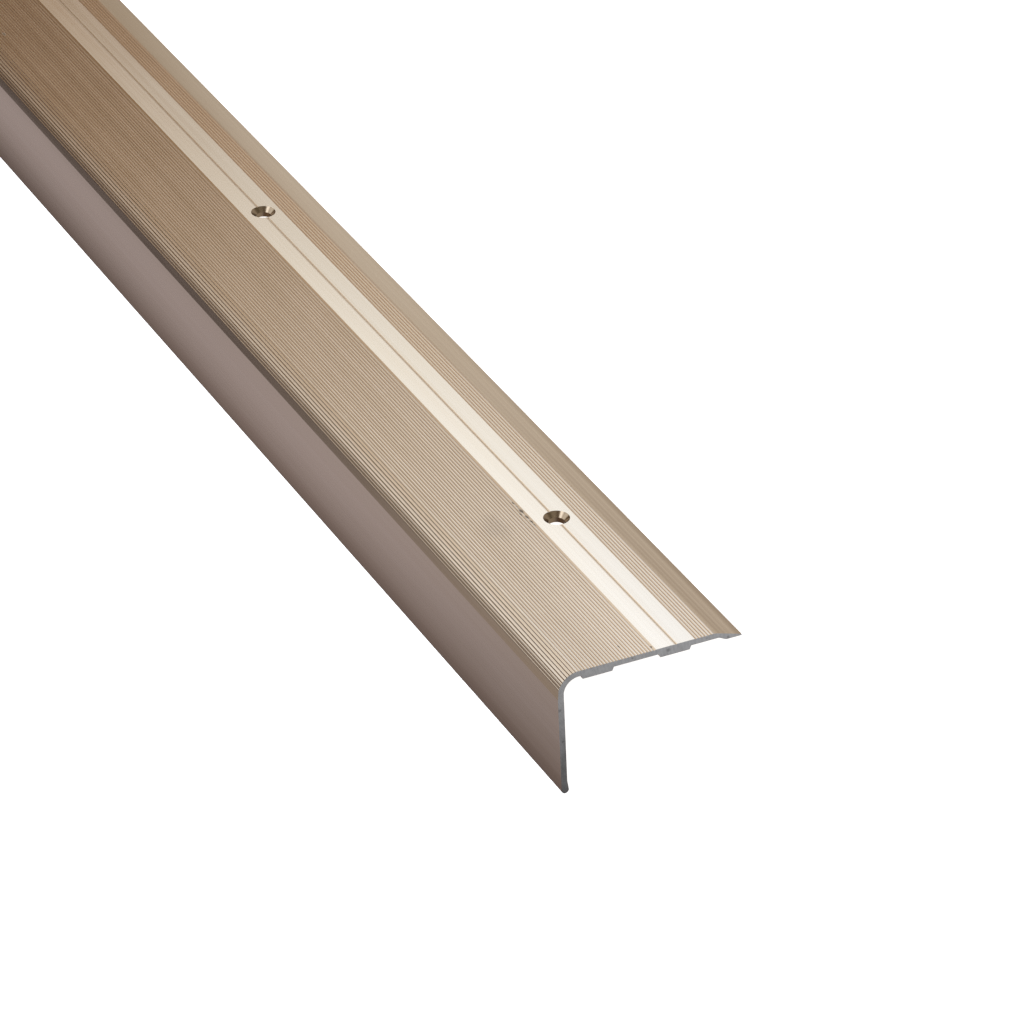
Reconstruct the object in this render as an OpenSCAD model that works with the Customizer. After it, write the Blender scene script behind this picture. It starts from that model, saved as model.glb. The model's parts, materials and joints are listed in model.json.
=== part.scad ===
// Stair nosing: one length of extruded angle that caps the front edge of a step.
// The section is drawn as it is fitted, with the tread level: x runs back from the riser's
// outer face, y is height above the tread. The length is then laid on the floor as it rests
// when nothing holds it, on the riser's foot and the back edge.

/* [Profile] */
// Length of the piece
length = 1000; // [300:10:2700]
// Depth of the tread leg, from the riser's outer face to the back edge
tread_depth = 59; // [54:0.5:90]
// Height of the riser leg, from the tread's face to the end of the foot
riser_height = 40.5; // [25:0.5:70]
// Angle between the two legs, a little under square so that the riser grips the step
corner_angle = 87.5; // [80:0.5:92]
// Thickness of both legs and of the nose
wall = 1.9; // [1.4:0.1:3]
// Outer radius of the nose
nose_radius = 6.6; // [5:0.1:10]

/* [Ribs] */
// Distance from rib to rib on the tread
rib_pitch = 1; // [0.8:0.05:1.6]
// Distance from rib to rib round the nose
nose_rib_pitch = 1.02; // [0.8:0.02:1.6]
// Depth of the valleys between the ribs
rib_depth = 0.28; // [0.1:0.02:0.4]
// How far round the nose the ribs reach, in degrees from the tread
nose_ribbed_angle = 77; // [30:1:80]
// How far the flat strip under the ribs runs down past the nose's centre
strip_drop = 1.2; // [0.6:0.1:3]
// Whole ribs behind the smooth band
back_ribs = 5; // [2:1:8]

/* [Smooth band] */
// Width of the smooth band that the screws go through
band_width = 11.9; // [10:0.1:20]
// Width of the slope from the last valley up to the band
band_shoulder = 1.1; // [0.5:0.1:1.5]
// Distance from the band's front edge to the screw line
screw_line = 6.4; // [5:0.1:8]
// Width of the shallow groove that ends at the screw line
groove_width = 1.6; // [0.8:0.1:2.5]
// Width of the groove's steeper back side
groove_back = 0.45; // [0.2:0.05:0.7]
// Depth of the groove
groove_depth = 0.16; // [0.1:0.02:0.4]

/* [Back edge] */
// Width of the ramp that slopes down to the back edge
ramp_width = 9.4; // [7:0.2:14]
// Thickness left at the back edge
edge_thickness = 0.4; // [0.2:0.1:1]
// Width of the flat lip under the back edge
lip_width = 4.6; // [3:0.2:6]
// Width of the hollow curve between the lip and the plate
cove_width = 3.3; // [2:0.1:4]

/* [Pads] */
// How far the pads and the lip stand below the plate
pad_height = 1.2; // [0.6:0.1:2]
// Width of each pad where it leaves the plate
pad_width = 10.4; // [8:0.2:12]
// Slope of a pad's sides, measured across
pad_draft = 0.5; // [0.2:0.1:1]
// Gap from the end of the nose's curve to the front pad
front_pad_gap = 0.8; // [0.4:0.1:3]
// Distance from the band's front edge to the back pad
back_pad_inset = 0.5; // [0.2:0.1:2]

/* [Foot] */
// Diameter of the rounded bead at the riser's lower edge
foot_width = 2.3; // [2:0.1:4]
// Length over which the riser's inner face swells to the bead
flare_length = 4.2; // [2.5:0.1:8]

/* [Screw holes] */
// Number of holes
hole_count = 5; // [2:1:12]
// Distance from each end to the first hole
hole_end = 76; // [20:1:120]
// Diameter of the straight part of each hole
hole_d = 5; // [3:0.1:5.5]
// Diameter of the countersink at the tread's face
countersink_d = 8; // [6.5:0.1:9]
// Full angle of the countersink
countersink_angle = 90; // [80:1:120]

/* [Hidden] */
$fn = 64;

// Straight steps drawn along one rib, along each curve, and the margin that a cut runs past a face
rib_steps = 8;
curve_steps = 16;
cut_margin = 1;
// Flatness of a rib's crest: 2 is a plain round rib, higher is flatter with a narrower valley
crest_power = 4;
// Keeps a whole number of ribs whole in spite of rounding
count_slack = 0.001;

lean = 90 - corner_angle;
nose_centre = [nose_radius, -nose_radius];
rest_depth = wall + pad_height;
leg_length = riser_height - nose_radius;
foot_r = foot_width / 2;

// Places along the tread, from the back edge forwards
ramp_start = tread_depth - ramp_width;
band_end = ramp_start - (back_ribs + 1) * rib_pitch;
band_start = band_end - band_width;
hole_x = band_start + screw_line;
last_valley = band_start - band_shoulder;
front_ribs = floor((last_valley - nose_radius) / rib_pitch + count_slack);
first_valley = last_valley - front_ribs * rib_pitch;

// Ribs round the nose, counted down from the tread
nose_rib_angle = nose_rib_pitch / nose_radius * 180 / PI;
nose_ribs = floor(nose_ribbed_angle / nose_rib_angle - 0.5 + count_slack);
strip_angle = (nose_ribs + 0.5) * nose_rib_angle;

// Where the piece lies on the floor: on the back edge's lower corner and on the foot's bead
foot_centre = on_riser(foot_r, leg_length - foot_r);
back_corner = [tread_depth, -rest_depth];
back_top = [tread_depth, edge_thickness - rest_depth];
span = back_corner - foot_centre;
tilt = atan2(span.y, span.x) + asin(foot_r / norm(span));
mid_x = (laid(foot_centre).x - foot_r + laid(back_top).x) / 2;

hole_spacing = (length - 2 * hole_end) / (hole_count - 1);
sink_depth = (countersink_d - hole_d) / 2 / tan(countersink_angle / 2);

// A point of the section after it is laid on the floor
function laid(p) = [p.x * cos(tilt) + p.y * sin(tilt), p.y * cos(tilt) - p.x * sin(tilt)];

// A point of the riser leg: across from its outer face, down from the nose's centre
function on_riser(across, down) = let (x = across - nose_radius)
    nose_centre + [x * cos(lean) + down * sin(lean), x * sin(lean) - down * cos(lean)];

// A point round the nose, by its angle from the tread and its height above the nose's curve
function on_nose(angle, height) = nose_centre + (nose_radius + height) * [-sin(angle), cos(angle)];

// Height of a rib with a flattened crest, at a distance from the crest
function crown(offset, pitch) = -rib_depth * abs(2 * offset / pitch) ^ crest_power;

// Offsets of the points along one rib, from valley to crest, and from crest to valley, closer
// together on the steep sides
function rise_steps(pitch) = [for (i = [0 : rib_steps / 2 - 1])
    -pitch / 2 * cos(180 * i / rib_steps)];
function fall_steps(pitch) = [for (i = [0 : rib_steps / 2 - 1])
    pitch / 2 * sin(180 * i / rib_steps)];

// Points of part of a rib on the level tread, by its crest, and of one round the nose
function tread_rib(crest, steps, pitch = rib_pitch) = [for (s = steps) [crest + s, crown(s, pitch)]];
function nose_rib(crest_angle, steps) = [for (s = steps)
    on_nose(crest_angle - s / nose_rib_pitch * nose_rib_angle, crown(s, nose_rib_pitch))];

function whole_steps(pitch) = concat(rise_steps(pitch), fall_steps(pitch));

// Riser's outer face, and the foot of the flat strip that runs up to the nose's ribs
riser_face = [on_riser(0, leg_length - foot_r), on_riser(0, strip_drop)];

// Ribs round the nose, from the flat strip up to the tread
nose_face = concat(nose_rib(strip_angle, fall_steps(nose_rib_pitch)),
    [for (k = [nose_ribs - 1 : -1 : 0])
        each nose_rib((k + 0.5) * nose_rib_angle, whole_steps(nose_rib_pitch))],
    first_valley > nose_radius + count_slack ? [[nose_radius, -rib_depth]] : []);

// Ribs of the tread, up to the smooth band
front_face = concat(
    [for (k = [0 : front_ribs - 1])
        each tread_rib(first_valley + (k + 0.5) * rib_pitch, whole_steps(rib_pitch))],
    tread_rib(band_start, rise_steps(2 * band_shoulder), 2 * band_shoulder));

// Smooth band with the screw line's groove
band_face = [[band_start, 0], [hole_x - groove_width, 0], [hole_x - groove_back, -groove_depth],
    [hole_x, 0]];

// Ribs behind the band, then the ramp to the back edge
back_face = concat(tread_rib(band_end, fall_steps(rib_pitch)),
    [for (k = [1 : back_ribs]) each tread_rib(band_end + k * rib_pitch, whole_steps(rib_pitch))],
    tread_rib(ramp_start, rise_steps(rib_pitch)), [[ramp_start, 0], back_top]);

// Lip under the back edge and the hollow curve up to the plate
lip_face = concat([back_corner], [for (i = [0 : curve_steps])
    [tread_depth - lip_width - cove_width * i / curve_steps,
     -rest_depth + pad_height * (1 - cos(180 * i / curve_steps)) / 2]]);

// One pad, from its back side to its front side
function pad_face(front) = [[front + pad_width, -wall], [front + pad_width - pad_draft, -rest_depth],
    [front + pad_draft, -rest_depth], [front, -wall]];

// Inside of the nose and of the riser, then round the foot's bead
inner_face = concat([for (i = [0 : curve_steps]) on_nose((90 + lean) * i / curve_steps, -wall)],
    [on_riser(wall, leg_length - flare_length)],
    [for (i = [0 : curve_steps - 1]) let (a = 180 * i / curve_steps)
        on_riser(foot_r + foot_r * cos(a), leg_length - foot_r + foot_r * sin(a))]);

module section() {
    polygon(concat(riser_face, nose_face, front_face, band_face, back_face, lip_face,
        pad_face(band_start + back_pad_inset), pad_face(nose_radius + front_pad_gap), inner_face));
}

// Countersunk hole, with its axis square to the tread
module screw_hole() {
    translate([0, 0, -rest_depth - cut_margin])
        cylinder(d = hole_d, h = rest_depth + 2 * cut_margin);
    translate([0, 0, -sink_depth])
        cylinder(d1 = hole_d, d2 = countersink_d + 2 * cut_margin * tan(countersink_angle / 2),
            h = sink_depth + cut_margin);
}

module nosing_profile() {
    color("#b39f87")
    translate([-mid_x, 0, -laid(back_corner).y])
    rotate([0, tilt, 0])
    difference() {
        rotate([90, 0, 0]) linear_extrude(length, center = true) section();
        for (i = [0 : hole_count - 1])
            translate([hole_x, hole_end - length / 2 + i * hole_spacing, 0]) screw_hole();
    }
}

nosing_profile();
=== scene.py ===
import json
from math import atan2, cos, floor, hypot, pi, radians, sin

import bpy
from mathutils import Matrix, Vector


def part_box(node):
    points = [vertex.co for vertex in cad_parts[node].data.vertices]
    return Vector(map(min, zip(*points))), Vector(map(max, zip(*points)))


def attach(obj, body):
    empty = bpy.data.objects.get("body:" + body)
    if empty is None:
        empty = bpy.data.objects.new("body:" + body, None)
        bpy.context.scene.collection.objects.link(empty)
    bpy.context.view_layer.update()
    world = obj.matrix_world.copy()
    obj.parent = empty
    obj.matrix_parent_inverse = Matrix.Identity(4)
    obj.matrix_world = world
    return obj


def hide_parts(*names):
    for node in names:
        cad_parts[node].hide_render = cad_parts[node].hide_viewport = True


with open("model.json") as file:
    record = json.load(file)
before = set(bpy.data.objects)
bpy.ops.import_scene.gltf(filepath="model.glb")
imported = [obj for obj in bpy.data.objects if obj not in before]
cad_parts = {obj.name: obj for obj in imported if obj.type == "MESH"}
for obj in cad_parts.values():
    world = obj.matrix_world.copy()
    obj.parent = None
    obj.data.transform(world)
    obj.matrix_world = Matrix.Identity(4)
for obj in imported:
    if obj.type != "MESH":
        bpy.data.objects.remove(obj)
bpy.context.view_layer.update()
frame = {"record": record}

# Camera at the photograph's viewing angle.
# A long lens looks along the length from above the sawn end, rolled so that the back edge
# runs up to the left, and the far end runs out of the picture.
EYE = Vector((-0.02367, -1.57691, 1.00766))
LOOK = Vector((0.02194, 0.76166, -0.64760))
DOWN = Vector((-0.66837, -0.47056, -0.57607))
LENS_MM = 181.17
SENSOR_MM = 36
CLIP_NEAR = 0.05
CLIP_FAR = 50

bpy.ops.object.select_all(action="DESELECT")
bpy.ops.object.camera_add(location=EYE)
camera = bpy.context.object
back = -LOOK.normalized()
up = -(DOWN - DOWN.dot(back) * back).normalized()
turn = Matrix((up.cross(back), up, back)).transposed()
camera.matrix_world = Matrix.Translation(EYE) @ turn.to_4x4()
camera.data.lens = LENS_MM
camera.data.sensor_width = SENSOR_MM
camera.data.clip_start = CLIP_NEAR
camera.data.clip_end = CLIP_FAR
bpy.context.scene.camera = camera
bpy.context.scene.view_settings.view_transform = "Standard"

# The nosing, one length of extruded aluminium angle that caps the front edge of a step.
# The die gives the ribbed nose and tread, the smooth band with its groove, the pads underneath,
# the tapered back edge and the bead on the riser's foot. Drawn here with the tread level.
MM = 0.001
TREAD_DEPTH = 59 * MM
RISER_HEIGHT = 40.5 * MM
LEAN = radians(90 - 87.5)
WALL = 1.9 * MM
NOSE_RADIUS = 6.6 * MM
RIB_PITCH = 1 * MM
NOSE_RIB_PITCH = 1.02 * MM
RIB_DEPTH = 0.28 * MM
NOSE_RIBBED_ANGLE = radians(77)
STRIP_DROP = 1.2 * MM
BACK_RIBS = 5
BAND_WIDTH = 11.9 * MM
BAND_SHOULDER = 1.1 * MM
SCREW_LINE = 6.4 * MM
GROOVE_WIDTH = 1.6 * MM
GROOVE_BACK = 0.25 * MM
GROOVE_DEPTH = 0.12 * MM
GROOVE_FRONT_POWER = 3
GROOVE_BACK_POWER = 1.5
RAMP_WIDTH = 9.4 * MM
RAMP_ROUNDING = 1.8 * MM
RAMP_SETTLED = 1.2 * RAMP_ROUNDING
RAMP_FIRST_SLOPE = 0.095
EDGE_THICKNESS = 0.4 * MM
LIP_WIDTH = 4.6 * MM
COVE_WIDTH = 3.3 * MM
PAD_HEIGHT = 1.2 * MM
PAD_WIDTH = 10.4 * MM
PAD_DRAFT = 0.5 * MM
FRONT_PAD_GAP = 0.8 * MM
BACK_PAD_INSET = 0.5 * MM
FOOT_R = 2.3 / 2 * MM
FLARE_LENGTH = 4.2 * MM
RIB_POWER = 3.5
NOSE_RIB_POWER = 6
RIB_STEPS = 24
HALF_RIB = RIB_STEPS // 2
CURVE_STEPS = 32
GROOVE_STEPS = 8
RAMP_STEPS = 12

REST_DEPTH = WALL + PAD_HEIGHT
LEG_LENGTH = RISER_HEIGHT - NOSE_RADIUS
RAMP_START = TREAD_DEPTH - RAMP_WIDTH
BAND_END = RAMP_START - (BACK_RIBS + 1) * RIB_PITCH
BAND_START = BAND_END - BAND_WIDTH
SCREW_X = BAND_START + SCREW_LINE
LAST_VALLEY = BAND_START - BAND_SHOULDER
FRONT_RIBS = round((LAST_VALLEY - NOSE_RADIUS) / RIB_PITCH)
NOSE_RIB_ANGLE = NOSE_RIB_PITCH / NOSE_RADIUS
NOSE_RIBS = floor(NOSE_RIBBED_ANGLE / NOSE_RIB_ANGLE - 0.5)
STRIP_ANGLE = (NOSE_RIBS + 0.5) * NOSE_RIB_ANGLE
NOSE_END_ANGLE = pi / 2 + LEAN


def on_riser(across_leg, down_leg):
    """A point of the riser leg, from its outer face and from the nose's centre."""
    x = across_leg - NOSE_RADIUS
    return (NOSE_RADIUS + x * cos(LEAN) + down_leg * sin(LEAN),
            -NOSE_RADIUS + x * sin(LEAN) - down_leg * cos(LEAN))


def on_nose(angle, height):
    """A point round the nose, by its angle from the tread and its height over the curve."""
    r = NOSE_RADIUS + height
    return (NOSE_RADIUS - r * sin(angle), -NOSE_RADIUS + r * cos(angle))


def crown(offset, pitch, power=RIB_POWER):
    """Height of a rib's rounded crest at a distance from its middle."""
    return -RIB_DEPTH * abs(2 * offset / pitch) ** power


def rib_offsets(pitch, first, last):
    """Distances from a rib's middle, closer together on its steep sides."""
    return [pitch / 2 * sin(pi * (i / RIB_STEPS - 0.5)) for i in range(first, last)]


def tread_rib(crest, first=0, last=RIB_STEPS, pitch=RIB_PITCH):
    return [(crest + s, crown(s, pitch)) for s in rib_offsets(pitch, first, last)]


def nose_rib(crest_angle, first=0, last=RIB_STEPS):
    return [on_nose(crest_angle - s / NOSE_RADIUS, crown(s, NOSE_RIB_PITCH, NOSE_RIB_POWER))
            for s in rib_offsets(NOSE_RIB_PITCH, first, last)]


def pad(front):
    return [(front + PAD_WIDTH, -WALL), (front + PAD_WIDTH - PAD_DRAFT, -REST_DEPTH),
            (front + PAD_DRAFT, -REST_DEPTH), (front, -WALL)]


strip_foot = on_riser(0, STRIP_DROP)
strip_head = on_nose(STRIP_ANGLE, 0)
outline = [on_riser(0, LEG_LENGTH - FOOT_R), strip_foot]
outline += nose_rib(STRIP_ANGLE, HALF_RIB)
for k in reversed(range(NOSE_RIBS)):
    outline += nose_rib((k + 0.5) * NOSE_RIB_ANGLE)
for k in range(FRONT_RIBS):
    outline += tread_rib(LAST_VALLEY - (FRONT_RIBS - k - 0.5) * RIB_PITCH)
outline += tread_rib(BAND_START, 0, HALF_RIB, 2 * BAND_SHOULDER)

groove = []
for i in range(GROOVE_STEPS + 1):
    share = i / GROOVE_STEPS
    x = SCREW_X - GROOVE_WIDTH + (GROOVE_WIDTH - GROOVE_BACK) * share
    groove.append((x, -GROOVE_DEPTH * share ** GROOVE_FRONT_POWER))
for i in range(1, GROOVE_STEPS + 1):
    share = 1 - i / GROOVE_STEPS
    groove.append((SCREW_X - GROOVE_BACK * share, -GROOVE_DEPTH * share ** GROOVE_BACK_POWER))
groove_floor = groove[GROOVE_STEPS]
outline += [(BAND_START, 0)] + groove

outline += tread_rib(BAND_END, HALF_RIB)
for k in range(1, BACK_RIBS + 1):
    outline += tread_rib(BAND_END + k * RIB_PITCH)
outline += tread_rib(RAMP_START, 0, HALF_RIB)

ramp_drop = REST_DEPTH - EDGE_THICKNESS
ramp_slope = ((ramp_drop - RAMP_FIRST_SLOPE * RAMP_ROUNDING / 2)
              / (RAMP_WIDTH - RAMP_ROUNDING / 2))
for i in range(RAMP_STEPS + 1):
    run = RAMP_ROUNDING * i / RAMP_STEPS
    slope = RAMP_FIRST_SLOPE + (ramp_slope - RAMP_FIRST_SLOPE) * i / (2 * RAMP_STEPS)
    outline.append((RAMP_START + run, -slope * run))
for run in (RAMP_SETTLED, RAMP_WIDTH):
    outline.append((RAMP_START + run, -ramp_drop + ramp_slope * (RAMP_WIDTH - run)))
outline.append((TREAD_DEPTH, -REST_DEPTH))

for i in range(CURVE_STEPS + 1):
    rise = PAD_HEIGHT * (1 - cos(pi * i / CURVE_STEPS)) / 2
    x = TREAD_DEPTH - LIP_WIDTH - COVE_WIDTH * i / CURVE_STEPS
    outline.append((x, -REST_DEPTH + rise))
outline += pad(BAND_START + BACK_PAD_INSET) + pad(NOSE_RADIUS + FRONT_PAD_GAP)
for i in range(CURVE_STEPS + 1):
    outline.append(on_nose(NOSE_END_ANGLE * i / CURVE_STEPS, -WALL))
outline.append(on_riser(WALL, LEG_LENGTH - FLARE_LENGTH))
for i in range(CURVE_STEPS):
    angle = pi * i / CURVE_STEPS
    foot_across = FOOT_R + FOOT_R * cos(angle)
    foot_down = LEG_LENGTH - FOOT_R + FOOT_R * sin(angle)
    outline.append(on_riser(foot_across, foot_down))

low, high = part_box("nosing_profile")
length = high[1] - low[1]

bpy.ops.object.select_all(action="DESELECT")
bpy.ops.mesh.primitive_circle_add(vertices=len(outline), radius=TREAD_DEPTH, fill_type="NGON")
nosing = bpy.context.object
nosing.name = "nosing"
for vertex, (x, z) in zip(nosing.data.vertices, outline):
    vertex.co = (x, low[1], z)
bpy.ops.object.mode_set(mode="EDIT")
bpy.ops.mesh.select_all(action="SELECT")
bpy.ops.mesh.extrude_region_move(TRANSFORM_OT_translate={"value": (0, length, 0)})
bpy.ops.mesh.select_all(action="SELECT")
bpy.ops.mesh.normals_make_consistent(inside=False)
bpy.ops.object.mode_set(mode="OBJECT")

# Screw holes along the groove, drilled and countersunk after the length was sawn.
# One cutter is made for each of the frame's screw mounts: a straight bore with its top face
# drawn out into the countersink's cone.
holes = [m for m in frame["record"]["mounts"] if m["kind"] == "bore"]
HOLE_R = holes[0]["dims"]["r_mm"] * MM
SINK_R = 4 * MM
SINK_DEPTH = SINK_R - HOLE_R
CUTTER_SIDES = 96
CUT_MARGIN = 1 * MM
FACING = 0.9

cone_growth = (SINK_R + CUT_MARGIN) / HOLE_R
cone_rise = (0, 0, SINK_DEPTH + CUT_MARGIN)
cutters = []
for hole in holes:
    bpy.ops.object.select_all(action="DESELECT")
    bpy.ops.mesh.primitive_cylinder_add(
        vertices=CUTTER_SIDES, radius=HOLE_R, depth=REST_DEPTH + CUT_MARGIN - SINK_DEPTH,
        location=(SCREW_X, hole["pos_m"][1], -(REST_DEPTH + CUT_MARGIN + SINK_DEPTH) / 2))
    cutter = bpy.context.object
    bpy.ops.object.mode_set(mode="EDIT")
    bpy.ops.mesh.select_all(action="DESELECT")
    bpy.ops.object.mode_set(mode="OBJECT")
    for face in cutter.data.polygons:
        face.select = face.normal.z > FACING
    bpy.ops.object.mode_set(mode="EDIT")
    bpy.ops.mesh.select_mode(type="FACE")
    bpy.ops.mesh.extrude_region_move(TRANSFORM_OT_translate={"value": cone_rise})
    bpy.ops.transform.resize(value=(cone_growth, cone_growth, 1))
    bpy.ops.object.mode_set(mode="OBJECT")
    cutters.append(cutter)

bpy.ops.object.select_all(action="DESELECT")
for cutter in cutters:
    cutter.select_set(True)
bpy.context.view_layer.objects.active = cutters[0]
bpy.ops.object.join()
cutter = bpy.context.object

bpy.context.view_layer.objects.active = nosing
bore = nosing.modifiers.new("screw holes", "BOOLEAN")
bore.operation = "DIFFERENCE"
bore.solver = "EXACT"
bore.object = cutter
bpy.ops.object.modifier_apply(modifier=bore.name)
bpy.data.objects.remove(cutter)

# Edges and kinds of face on the drawn length, told apart while the tread is still level.
# The groove and the strip under the nose keep crisp edges, as the die leaves them, and each
# face is as extruded, sawn or drilled, which gives it its finish.
SAME_PLACE = 0.001 * MM
END_AREA = 10 * MM * MM
RIM_SLACK = 0.05 * MM
EXTRUDED, SAWN, DRILLED = 0, 1, 2

mesh = nosing.data
crisp_lines = (groove_floor, groove[-1], strip_foot, strip_head)
for edge in mesh.edges:
    ends = [mesh.vertices[i].co for i in edge.vertices]
    for x, z in crisp_lines:
        if all(max(abs(end.x - x), abs(end.z - z)) < SAME_PLACE for end in ends):
            edge.use_edge_sharp = True

face_kinds = []
for face in mesh.polygons:
    kind = SAWN if abs(face.normal.y) > FACING and face.area > END_AREA else EXTRUDED
    corners = [mesh.vertices[i].co for i in face.vertices]
    for hole in holes:
        reach = max(hypot(c.x - SCREW_X, c.y - hole["pos_m"][1]) for c in corners)
        if reach < SINK_R + RIM_SLACK:
            kind = DRILLED
    face_kinds.append(kind)

# Laid as it rests when nothing holds it, on the riser's foot and the back edge.
# The frame's screw axis gives the tilt, and its first hole gives the place.
SMOOTH_ANGLE = radians(13)

axis = Vector(holes[0]["axis"])
tilt = atan2(axis.x, axis.z)
lay = Matrix.Rotation(tilt, 4, "Y")
seat = Vector((SCREW_X, holes[0]["pos_m"][1], -(SINK_DEPTH + REST_DEPTH) / 2))
corner = Vector(holes[0]["pos_m"]) - lay @ seat
mesh.transform(Matrix.Translation(corner) @ lay)
bpy.ops.object.select_all(action="DESELECT")
nosing.select_set(True)
bpy.context.view_layer.objects.active = nosing
bpy.ops.object.shade_smooth_by_angle(angle=SMOOTH_ANGLE)

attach(nosing, "root")
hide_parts("nosing_profile")

# Champagne anodising on every face that the die made: satin metal with lengthwise die lines,
# faint clouding, and a few dark specks caught between the last ribs beside the band, with
# painted shade and a painted highlight on the ribs.
# Marks are placed in millimetres, across the tread from the riser and along from the sawn end.
CHAMPAGNE = (0.80, 0.66, 0.50)
CHAMPAGNE_DEEP = (0.76, 0.615, 0.455)
# Darker, browner copies of the champagne for the ribs: painted shade, browner still at the far end
SHADED_RIB_LIGHT = (0.645, 0.525, 0.398)
SHADED_RIB_DEEP = (0.58, 0.46, 0.335)
FAR_SHADED_RIB_LIGHT = (0.625, 0.462, 0.315)
FAR_SHADED_RIB_DEEP = (0.56, 0.405, 0.265)
PAINTED_RIB_GLEAM = (0.774, 0.63, 0.478)
SHADED_BACK_RIB = (0.64, 0.514, 0.383)
FAR_SHADED_BACK_RIB = (0.69, 0.505, 0.338)
SHADED_NOSE_RIB = (0.662, 0.551, 0.43)
FAR_SHADED_NOSE_RIB = (0.70, 0.55, 0.405)
VALLEY = (0.34, 0.23, 0.13)
GRIME = (0.085, 0.065, 0.045)
BLACK = (0, 0, 0)
DIE_LINES = (1900, 5, 1900)
BROAD_LINES = (260, 2, 260)
CLOUDS = (90, 30, 90)
GRAIN = (5200, 5200, 5200)
TONE_SPREAD = (0.36, 0.64)
BAND_FRONT_MASK = (BAND_START - 0.55 * MM, BAND_START - 0.25 * MM)
BAND_BACK_MASK = (BAND_END + 0.4 * MM, BAND_END + 0.1 * MM)
BAND_HALF_MASK = (SCREW_X, SCREW_X + 0.3 * MM)
BAND_HALF_SHADE = 0.05
BEHIND_BAND_MASK = (BAND_END, BAND_END + 0.2 * MM)
RIB_FLOOR_MASK = (0.45 * MM, 0.32 * MM)
RIB_FOOT_MASK = (1.3 * MM, 1.7 * MM)
RIB_END_MASK = (RAMP_START + 0.9 * MM, RAMP_START + 0.3 * MM)
NOSE_MASK = (NOSE_RADIUS + 0.5 * MM, NOSE_RADIUS - 1.5 * MM)
VALLEY_SHADE_MASK = (0.04 * MM, 0.24 * MM)
TREAD_VALLEY_SHADE_SHARE = 0.22
FAR_END_SHADE_RUN = (60 * MM, 400 * MM)
GLEAM_ACROSS = (10 * MM, 30 * MM)
GLEAM_ALONG = (90 * MM, 10 * MM)
GLEAM_SHARE = 0.36
RAMP_MASK = (RAMP_START - 0.02 * MM, RAMP_START + 0.05 * MM)
RAMP_LINES = ((0.0, 0.0), (0.138, 0.06), (0.213, 0.30), (0.303, 0.14), (0.383, 0.32),
              (0.479, 0.02), (0.548, 0.16), (0.606, 0.10), (0.691, 0.0), (0.809, 0.30),
              (0.904, 0.46), (1.0, 0.46))
RAMP_LINES_FADE = (250 * MM, 30 * MM)
FAR_RAMP_LINES_SHARE = 0.15
SPECKS = ((30.32, 89.1, 0.30), (30.45, 87.0, 0.22), (30.45, 84.1, 0.50), (29.45, 82.5, 0.26),
          (30.45, 80.3, 0.40), (30.50, 77.5, 0.36), (30.50, 75.6, 0.26), (10.45, 447.1, 0.45),
          (22.45, 6.4, 0.22), (30.75, 2.1, 0.17))
SPECK_LENGTH = 2.4
SPECK_EDGE = (1.6, 0.3)
SPECK_SHARE = 0.76
SMUDGE = (20.0, 80.0)
SMUDGE_SIZE = (7, 10)
SMUDGE_EDGE = (1.0, 0.2)
SMUDGE_SHARE = 0.07
DIE_LINE_RELIEF = 0.004 * MM


class Shade:
    """A socket of a shader; sums and products of these add Math nodes."""

    # Places of a colour Mix node's share, two colours and result among its sockets
    SHARE, FIRST, SECOND, RESULT = 0, 6, 7, 2

    def __init__(self, tree, socket=None):
        self.tree = tree
        self.socket = socket

    def node(self, kind, settings, sockets, output=0):
        node = self.tree.nodes.new(kind)
        for name, value in settings.items():
            if name == "stops":
                ramp = node.color_ramp
                while len(ramp.elements) < len(value):
                    ramp.elements.new(1)
                for stop, (place, colour) in zip(ramp.elements, value):
                    stop.position = place
                    stop.color = (*colour, 1)
            else:
                setattr(node, name, value)
        for name, value in sockets.items():
            if isinstance(value, Shade):
                self.tree.links.new(value.socket, node.inputs[name])
            else:
                node.inputs[name].default_value = value
        return Shade(self.tree, node.outputs[output])

    def math(self, operation, first, second=0.0):
        return self.node("ShaderNodeMath", {"operation": operation}, {0: first, 1: second})

    def __add__(self, other):
        return self.math("ADD", self, other)

    __radd__ = __add__

    def __sub__(self, other):
        return self.math("SUBTRACT", self, other)

    def __rsub__(self, other):
        return self.math("SUBTRACT", other, self)

    def __mul__(self, other):
        return self.math("MULTIPLY", self, other)

    __rmul__ = __mul__

    def __truediv__(self, other):
        return self.math("DIVIDE", self, other)

    def stretch(self, scale):
        return self.node("ShaderNodeVectorMath", {"operation": "MULTIPLY"}, {0: self, 1: scale})

    def distance(self, middle):
        points = {0: self, 1: middle}
        return self.node("ShaderNodeVectorMath", {"operation": "DISTANCE"}, points, "Value")

    def part(self, letter):
        return self.node("ShaderNodeSeparateXYZ", {}, {"Vector": self}, letter)

    def fade(self, start, end, kind="SMOOTHSTEP"):
        limits = {"Value": self, "From Min": min(start, end), "From Max": max(start, end)}
        limits["To Min"] = 0.0 if start < end else 1.0
        limits["To Max"] = 1.0 - limits["To Min"]
        return self.node("ShaderNodeMapRange", {"interpolation_type": kind}, limits)

    def stops(self, stops):
        return self.node("ShaderNodeValToRGB", {"stops": stops}, {"Fac": self})

    def noise(self, scale, detail):
        look = {"Vector": self.stretch(scale), "Scale": 1.0, "Detail": detail}
        return self.node("ShaderNodeTexNoise", {}, look)

    def blend(self, first, second):
        colours = {self.FIRST: first, self.SECOND: second}
        for place, colour in colours.items():
            if not isinstance(colour, Shade):
                colours[place] = (*colour, 1)
        mix = {self.SHARE: self, **colours}
        return self.node("ShaderNodeMix", {"data_type": "RGBA"}, mix, self.RESULT)

    def bump(self, distance, strength):
        relief = {"Height": self, "Distance": distance, "Strength": strength}
        return self.node("ShaderNodeBump", {}, relief)


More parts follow.
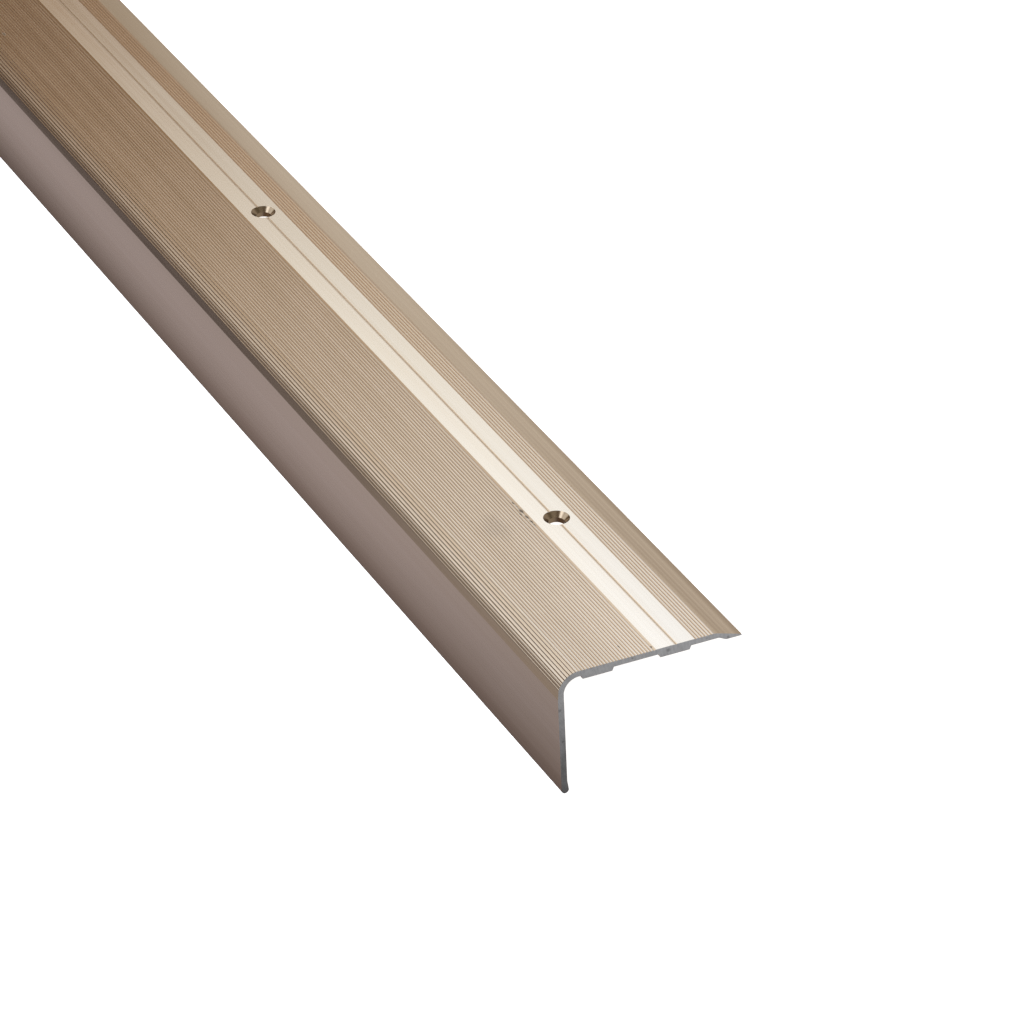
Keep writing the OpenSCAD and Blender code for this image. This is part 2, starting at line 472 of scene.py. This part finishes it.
def metal_finish(name):
    """A metal, its shader's sockets and the place on the section with the tread level."""
    material = bpy.data.materials.new(name)
    material.use_nodes = True
    tree = material.node_tree
    surface = tree.nodes["Principled BSDF"].inputs
    surface["Metallic"].default_value = 1
    start = Shade(tree)
    place = start.node("ShaderNodeTexCoord", {}, {}, "Object")
    level = {"Vector": place, "Location": corner, "Rotation": (0, tilt, 0)}
    on_section = start.node("ShaderNodeMapping", {"vector_type": "TEXTURE"}, level)
    return material, surface, on_section


def wire(socket, shade):
    shade.tree.links.new(shade.socket, socket)


def nearest_mark(places, marks):
    """Distance to the nearest mark, each measured in its own size."""
    nearest = None
    for middle, size in marks:
        reach = places.distance(middle) / size
        nearest = reach if nearest is None else places.math("MINIMUM", nearest, reach)
    return nearest


champagne, sockets, section = metal_finish("champagne anodised")
die_lines = section.noise(DIE_LINES, 1.0)
broad_lines = section.noise(BROAD_LINES, 2.0)
clouds = section.noise(CLOUDS, 3.0)
grain = section.noise(GRAIN, 2.0)
end_mm = low[1] / MM

# Where the ribs, their valleys, the band and the ramp lie on the section
across = section.part("X")
along = section.part("Y") - low[1]
raised = section.part("Z") + NOSE_RADIUS
turned = section.math("MINIMUM", across - NOSE_RADIUS, 0.0)
sunk = NOSE_RADIUS - section.math("SQRT", turned * turned + raised * raised)
on_band = across.fade(*BAND_FRONT_MASK) * across.fade(*BAND_BACK_MASK)
ribbed = sunk.fade(*RIB_FLOOR_MASK) * raised.fade(*RIB_FOOT_MASK) * (1 - on_band)
ribbed = ribbed * across.fade(*RIB_END_MASK)
on_nose_ribs = across.fade(*NOSE_MASK)
# Painted shade in the rib valleys, strongest round the nose
valley_shade_share = TREAD_VALLEY_SHADE_SHARE + (1 - TREAD_VALLEY_SHADE_SHARE) * on_nose_ribs
valley_shade = ribbed * sunk.fade(*VALLEY_SHADE_MASK) * valley_shade_share
on_ramp = across.fade(*RAMP_MASK)

# Specks between the ribs, drawn out along them, and one faint smudge
across_along = section.stretch((1 / MM, 1 / MM / SPECK_LENGTH, 0))
speck_middles = []
for x, from_end, size in SPECKS:
    speck_middles.append(((x, (end_mm + from_end) / SPECK_LENGTH, 0), size))
specks = (nearest_mark(across_along, speck_middles) + 0.8 * (grain - 0.5)).fade(*SPECK_EDGE)
around = section.stretch((1 / (SMUDGE_SIZE[0] * MM), 1 / (SMUDGE_SIZE[1] * MM), 0))
smudge_middle = (SMUDGE[0] / SMUDGE_SIZE[0], (end_mm + SMUDGE[1]) / SMUDGE_SIZE[1], 0)
smudge = (around.distance(smudge_middle) + 1.6 * (clouds - 0.5)).fade(*SMUDGE_EDGE)

# Colour of the band, the ribs and the ramp; the ribs carry painted shade, darker than the band
# and browner away from the sawn end, and a painted highlight near that end
tone = (0.45 * die_lines + 0.35 * broad_lines + 0.20 * clouds).fade(*TONE_SPREAD)
# Painted shade: the ribs' tones turn browner away from the sawn end
far_end_shade = along.fade(*FAR_END_SHADE_RUN)
body = tone.blend(CHAMPAGNE_DEEP, CHAMPAGNE)
band_half = on_band * across.fade(*BAND_HALF_MASK)
body = (BAND_HALF_SHADE * band_half).blend(body, BLACK)
# Painted shade: the ribs take darker, browner copies of the champagne
shaded_rib_deep = far_end_shade.blend(SHADED_RIB_DEEP, FAR_SHADED_RIB_DEEP)
shaded_rib_light = far_end_shade.blend(SHADED_RIB_LIGHT, FAR_SHADED_RIB_LIGHT)
# Painted highlight: ribs lighter near the sawn end, away from the nose
painted_gleam = GLEAM_SHARE * across.fade(*GLEAM_ACROSS) * along.fade(*GLEAM_ALONG)
shaded_rib_tone = painted_gleam.blend(tone.blend(shaded_rib_deep, shaded_rib_light), PAINTED_RIB_GLEAM)
behind_band = across.fade(*BEHIND_BAND_MASK)
shaded_rib_tone = behind_band.blend(shaded_rib_tone, far_end_shade.blend(SHADED_BACK_RIB, FAR_SHADED_BACK_RIB))
shaded_rib_tone = on_nose_ribs.blend(shaded_rib_tone, far_end_shade.blend(SHADED_NOSE_RIB, FAR_SHADED_NOSE_RIB))
body = valley_shade.blend(ribbed.blend(body, shaded_rib_tone), VALLEY)
ramp_stops = [(place, (depth, depth, depth)) for place, depth in RAMP_LINES]
ramp_lines = ((across - RAMP_START) / RAMP_WIDTH).stops(ramp_stops).part("X")
lines_left = FAR_RAMP_LINES_SHARE + (1 - FAR_RAMP_LINES_SHARE) * along.fade(*RAMP_LINES_FADE)
body = (on_ramp * ramp_lines * lines_left).blend(body, VALLEY)
body = (SMUDGE_SHARE * smudge).blend(body, GRIME)
body = (SPECK_SHARE * specks).blend(body, GRIME)
wire(sockets["Base Color"], body)
satin = 0.13 + 0.06 * die_lines + 0.04 * clouds
wire(sockets["Roughness"], satin + 0.4 * specks + 0.05 * smudge)
wire(sockets["Normal"], die_lines.bump(DIE_LINE_RELIEF, 0.15))

# Sawn ends, where the blade cut through the length and left bare aluminium.
# The grey metal keeps the blade's fine arcs, small nicks along its edges and a few dark pits.
# Nicks are placed in millimetres, back from the riser and up from the tread's face.
SAWN_GREY = (0.70, 0.70, 0.71)
SAWN_DARK = (0.50, 0.50, 0.51)
SAWN_SPREAD = (0.33, 0.63)
BLADE_ARCS = {"Scale": 700.0, "Distortion": 2.0, "Detail": 2.0, "Detail Scale": 3.0}
MOTTLE = (420, 420, 420)
PITS = (1500, 1500, 1500)
PIT_EDGE = (0.68, 0.76)
PIT_SHARE = 0.7
PIT_DARK = (0.10, 0.10, 0.10)
NICKS = ((0.35, -11.9, 0.42), (0.85, -11.7, 0.36), (35.2, -1.35, 0.48), (23.7, -0.75, 0.34),
         (54.6, -2.4, 0.42), (10.8, -0.2, 0.32), (1.75, -22.7, 0.34), (47.6, -0.9, 0.28))
NICK_EDGE = (1.6, 0.4)
NICK_SHARE = 0.36
SAWN_RELIEF = 0.02 * MM

sawn_metal, sockets, section = metal_finish("sawn aluminium")
arcs = section.node("ShaderNodeTexWave", {"wave_type": "RINGS", "rings_direction": "Y"},
                    {"Vector": section.stretch((1, 0, 1)), **BLADE_ARCS}, "Fac")
mottle = section.noise(MOTTLE, 4.0)
pits = section.noise(PITS, 2.0).fade(*PIT_EDGE)
in_mm = section.stretch((1 / MM, 1 / MM, 1 / MM))
nick_middles = [((x, end_mm, z), size) for x, z, size in NICKS]
nicks = (nearest_mark(in_mm, nick_middles) + 1.6 * (mottle - 0.5)).fade(*NICK_EDGE)
grey = (0.30 * arcs + 0.70 * mottle).fade(*SAWN_SPREAD).blend(SAWN_DARK, SAWN_GREY)
grey = (PIT_SHARE * pits).blend(grey, PIT_DARK)
wire(sockets["Base Color"], (NICK_SHARE * nicks).blend(grey, PIT_DARK))
wire(sockets["Roughness"], 0.42 + 0.16 * mottle)
wire(sockets["Normal"], (arcs - 2 * pits - 2 * nicks).bump(SAWN_RELIEF, 0.35))

# Walls of the screw holes, anodised with the rest after they were drilled.
# They are painted darker than the faces as painted shade inside the holes, and the cutter left fine
# rings down each cone.
SHADED_BORE_LIGHT = (0.40, 0.30, 0.20)
SHADED_BORE_DARK = (0.30, 0.22, 0.14)
RING_PITCH = 0.14 * MM
CHATTER = (900, 900, 900)
RING_RELIEF = 0.006 * MM

drilled_metal, sockets, section = metal_finish("drilled champagne")
rings = section.math("SINE", section.part("Z") * (2 * pi / RING_PITCH))
chatter = section.noise(CHATTER, 2.0)
cut_tone = 0.5 + 0.2 * rings + 0.6 * (chatter - 0.5)
wire(sockets["Base Color"], cut_tone.blend(SHADED_BORE_DARK, SHADED_BORE_LIGHT))
wire(sockets["Roughness"], 0.12 + 0.08 * chatter)
wire(sockets["Normal"], (rings + chatter).bump(RING_RELIEF, 0.4))

finishes = {EXTRUDED: champagne, SAWN: sawn_metal, DRILLED: drilled_metal}
for kind in sorted(finishes):
    mesh.materials.append(finishes[kind])
for face, kind in zip(mesh.polygons, face_kinds):
    face.material_index = kind

# White paper floor, plain and seamless, which the piece lies on.
# Only the camera sees it; the metal mirrors the toned card below it.
FLOOR_SIZE = 20
PAPER_WHITE = (0.9, 0.9, 0.9, 1)
PAPER_ROUGHNESS = 0.9
PAPER_GLOW = (1, 1, 1, 1)
PAPER_GLOW_STRENGTH = 0.96

bpy.ops.object.select_all(action="DESELECT")
bpy.ops.mesh.primitive_plane_add(size=FLOOR_SIZE, location=(0, 0, low[2]))
ground = bpy.context.object
ground.name = "floor"
ground.visible_glossy = False
paper = bpy.data.materials.new("white paper")
paper.use_nodes = True
sheet = paper.node_tree.nodes["Principled BSDF"].inputs
sheet["Base Color"].default_value = PAPER_WHITE
sheet["Roughness"].default_value = PAPER_ROUGHNESS
sheet["Emission Color"].default_value = PAPER_GLOW
sheet["Emission Strength"].default_value = PAPER_GLOW_STRENGTH
ground.data.materials.append(paper)

# Toned card just under the floor, for the metal's reflections alone: dim where the piece
# shades it along the riser's foot, mauve beside it, and falling off to the far left.
# Stops go by the distance from the foot line, as a share of its reach.
CARD_DROP = 0.2 * MM
FOOT_REACH = 0.2
BESIDE_FOOT = ((0.0, (0.13, 0.108, 0.107)), (0.017, (0.185, 0.156, 0.162)),
               (0.03, (0.21, 0.178, 0.187)), (0.043, (0.25, 0.216, 0.23)),
               (0.068, (0.31, 0.278, 0.302)), (0.115, (0.375, 0.343, 0.38)),
               (0.155, (0.42, 0.388, 0.435)), (0.23, (0.42, 0.39, 0.435)),
               (0.28, (0.40, 0.357, 0.335)), (1.0, (0.40, 0.357, 0.335)))
BEFORE_END = ((0.0, (0.135, 0.135, 0.133)), (0.035, (0.14, 0.14, 0.138)),
              (0.065, (0.07, 0.07, 0.07)), (0.10, (0.115, 0.115, 0.115)),
              (0.146, (0.33, 0.33, 0.33)), (0.18, (0.46, 0.458, 0.46)),
              (0.30, (0.52, 0.518, 0.522)), (1.0, (0.54, 0.54, 0.54)))
FAR_LEFT = (0.078, 0.066, 0.068)
FAR_LEFT_GAP = (0.050, 0.067)
FAR_LEFT_ALONG = (-0.45, -0.08)
BY_FOOT_GAP = (0.024, 0.004)
NEAR_SHADE = 0.30
NEAR_SHADE_LESS_BY_FOOT = 0.11
NEAR_SHADE_ALONG = (-0.26, -0.52)
FAR_FOOT_SHADE = 0.20
FAR_FOOT_ALONG = (-0.30, -0.05)
RIGHT_NEAR = (0.55, 0.52, 0.49)
RIGHT_SIDE = (0.60, 0.57, 0.535)
RIGHT_SIDE_ALONG = (-0.50, -0.28)
RIGHT_FAR = (0.39, 0.345, 0.29)
RIGHT_FAR_ALONG = (-0.22, 0.04)
LEFT_TO_RIGHT = (-0.02, 0.03)
BEFORE_END_ALONG = (low[1], low[1] - 0.002)

bpy.ops.object.select_all(action="DESELECT")
bpy.ops.mesh.primitive_plane_add(size=FLOOR_SIZE, location=(0, 0, low[2] - CARD_DROP))
card = bpy.context.object
card.name = "toned_card"
card.visible_camera = False
card.visible_diffuse = False
card.visible_shadow = False
toned = bpy.data.materials.new("toned card")
toned.use_nodes = True
start = Shade(toned.node_tree)
spot = start.node("ShaderNodeTexCoord", {}, {}, "Object")
spot_x = spot.part("X")
spot_y = spot.part("Y")
ahead = start.math("MINIMUM", spot_y - low[1], 0.0)
beside = spot_x - low[0]
gap = start.math("SQRT", beside * beside + ahead * ahead)
by_foot = gap.fade(*BY_FOOT_GAP)
far_left = gap.fade(*FAR_LEFT_GAP) * spot_y.fade(*FAR_LEFT_ALONG)
left_tone = far_left.blend((gap / FOOT_REACH).stops(BESIDE_FOOT), FAR_LEFT)
near_shade = (NEAR_SHADE - NEAR_SHADE_LESS_BY_FOOT * by_foot) * spot_y.fade(*NEAR_SHADE_ALONG)
far_shade = FAR_FOOT_SHADE * by_foot * spot_y.fade(*FAR_FOOT_ALONG)
left_tone = (near_shade + far_shade).blend(left_tone, BLACK)
right_tone = spot_y.fade(*RIGHT_SIDE_ALONG).blend(RIGHT_NEAR, RIGHT_SIDE)
right_tone = spot_y.fade(*RIGHT_FAR_ALONG).blend(right_tone, RIGHT_FAR)
card_tone = spot_x.fade(*LEFT_TO_RIGHT).blend(left_tone, right_tone)
before_end = (gap / FOOT_REACH).stops(BEFORE_END)
card_tone = spot_y.fade(*BEFORE_END_ALONG).blend(card_tone, before_end)
glow = start.node("ShaderNodeEmission", {}, {"Color": card_tone, "Strength": 1.0})
wire(toned.node_tree.nodes["Material Output"].inputs["Surface"], glow)
card.data.materials.append(toned)

# Soft studio light: a tent, bright round the near end and fading to a warm dim backdrop at the
# far end, a round lamp overhead, and a fill light on the sides that the photograph doesn't show.
# The tent's stops go round the length from left to right, the others from level to overhead.
NEAR_TENT = ((0.25, (0.34, 0.31, 0.30)), (0.333, (0.40, 0.37, 0.36)), (0.361, (0.56, 0.56, 0.58)),
             (0.383, (0.90, 0.93, 0.98)), (0.414, (1.42, 1.56, 1.78)), (0.464, (1.42, 1.52, 1.69)),
             (0.514, (1.34, 1.41, 1.52)), (0.561, (1.42, 1.52, 1.65)), (0.611, (1.38, 1.48, 1.61)),
             (0.656, (1.35, 1.46, 1.61)), (0.678, (1.35, 1.67, 2.27)), (0.708, (1.32, 1.61, 2.16)),
             (0.728, (1.00, 1.00, 1.00)), (0.75, (0.60, 0.57, 0.54)))
MIDDLE_TENT = ((0.25, (0.22, 0.19, 0.18)), (0.333, (0.24, 0.20, 0.18)),
               (0.361, (0.32, 0.29, 0.27)), (0.414, (0.98, 0.98, 0.98)),
               (0.464, (0.93, 0.91, 0.88)), (0.514, (0.88, 0.83, 0.77)),
               (0.561, (0.83, 0.74, 0.61)), (0.611, (0.80, 0.69, 0.53)),
               (0.656, (0.75, 0.62, 0.46)), (0.678, (1.25, 1.39, 1.52)),
               (0.708, (1.25, 1.38, 1.50)), (0.728, (0.58, 0.48, 0.38)),
               (0.75, (0.54, 0.50, 0.47)))
FAR_TENT = ((0.25, (0.07, 0.058, 0.052)), (0.333, (0.08, 0.06, 0.05)), (0.414, (0.20, 0.15, 0.11)),
            (0.514, (0.16, 0.10, 0.06)), (0.611, (0.10, 0.04, 0.01)), (0.656, (0.08, 0.03, 0.0)),
            (0.681, (0.27, 0.15, 0.045)), (0.708, (0.27, 0.15, 0.045)), (0.728, (0.20, 0.13, 0.07)),
            (0.75, (0.36, 0.31, 0.27)))
NEAR_TO_MIDDLE = (0.70, 0.78)
MIDDLE_TO_FAR = (0.78, 0.85)
FRONT_TENT = ((0.0, (0.30, 0.28, 0.24)), (0.45, (0.22, 0.20, 0.15)), (0.86, (0.20, 0.17, 0.14)),
              (1.0, (0.40, 0.36, 0.32)))
FRONT_TO_TENT = (-0.10, 0.45)
LAMP = (-0.11, -0.01, 0.99)
LAMP_EDGE = (0.33, 0.12)
LAMP_TONE = (3.1, 3.5, 4.2)
FILL_TENT = ((0.0, (0.26, 0.25, 0.23)), (0.20, (0.27, 0.26, 0.24)), (0.40, (0.66, 0.65, 0.63)),
             (0.70, (0.80, 0.79, 0.77)), (1.0, (0.85, 0.84, 0.82)))
FILL_FRONT = (-0.50, -0.60)
FILL_LEFT = (-0.35, -0.50)

world = bpy.data.worlds.new("studio")
world.use_nodes = True
start = Shade(world.node_tree)
ray = start.node("ShaderNodeTexCoord", {}, {}, "Generated")
ray_x = ray.part("X")
ray_y = ray.part("Y")
ray_z = ray.part("Z")
round_length = start.math("ARCTAN2", ray_x, ray_z) / (2 * pi) + 0.5
tent = round_length.stops(NEAR_TENT)
tent = ray_y.fade(*NEAR_TO_MIDDLE, "LINEAR").blend(tent, round_length.stops(MIDDLE_TENT))
tent = ray_y.fade(*MIDDLE_TO_FAR, "LINEAR").blend(tent, round_length.stops(FAR_TENT))
lamp = ray.distance(LAMP).fade(*LAMP_EDGE)
front = lamp.blend(ray_z.stops(FRONT_TENT), LAMP_TONE)
other_sides = start.math("MAXIMUM", ray_y.fade(*FILL_FRONT), ray_x.fade(*FILL_LEFT))
front = other_sides.blend(front, ray_z.stops(FILL_TENT))
tent = ray_y.fade(*FRONT_TO_TENT).blend(front, tent)
wire(world.node_tree.nodes["Background"].inputs["Color"], tent)
bpy.context.scene.world = world
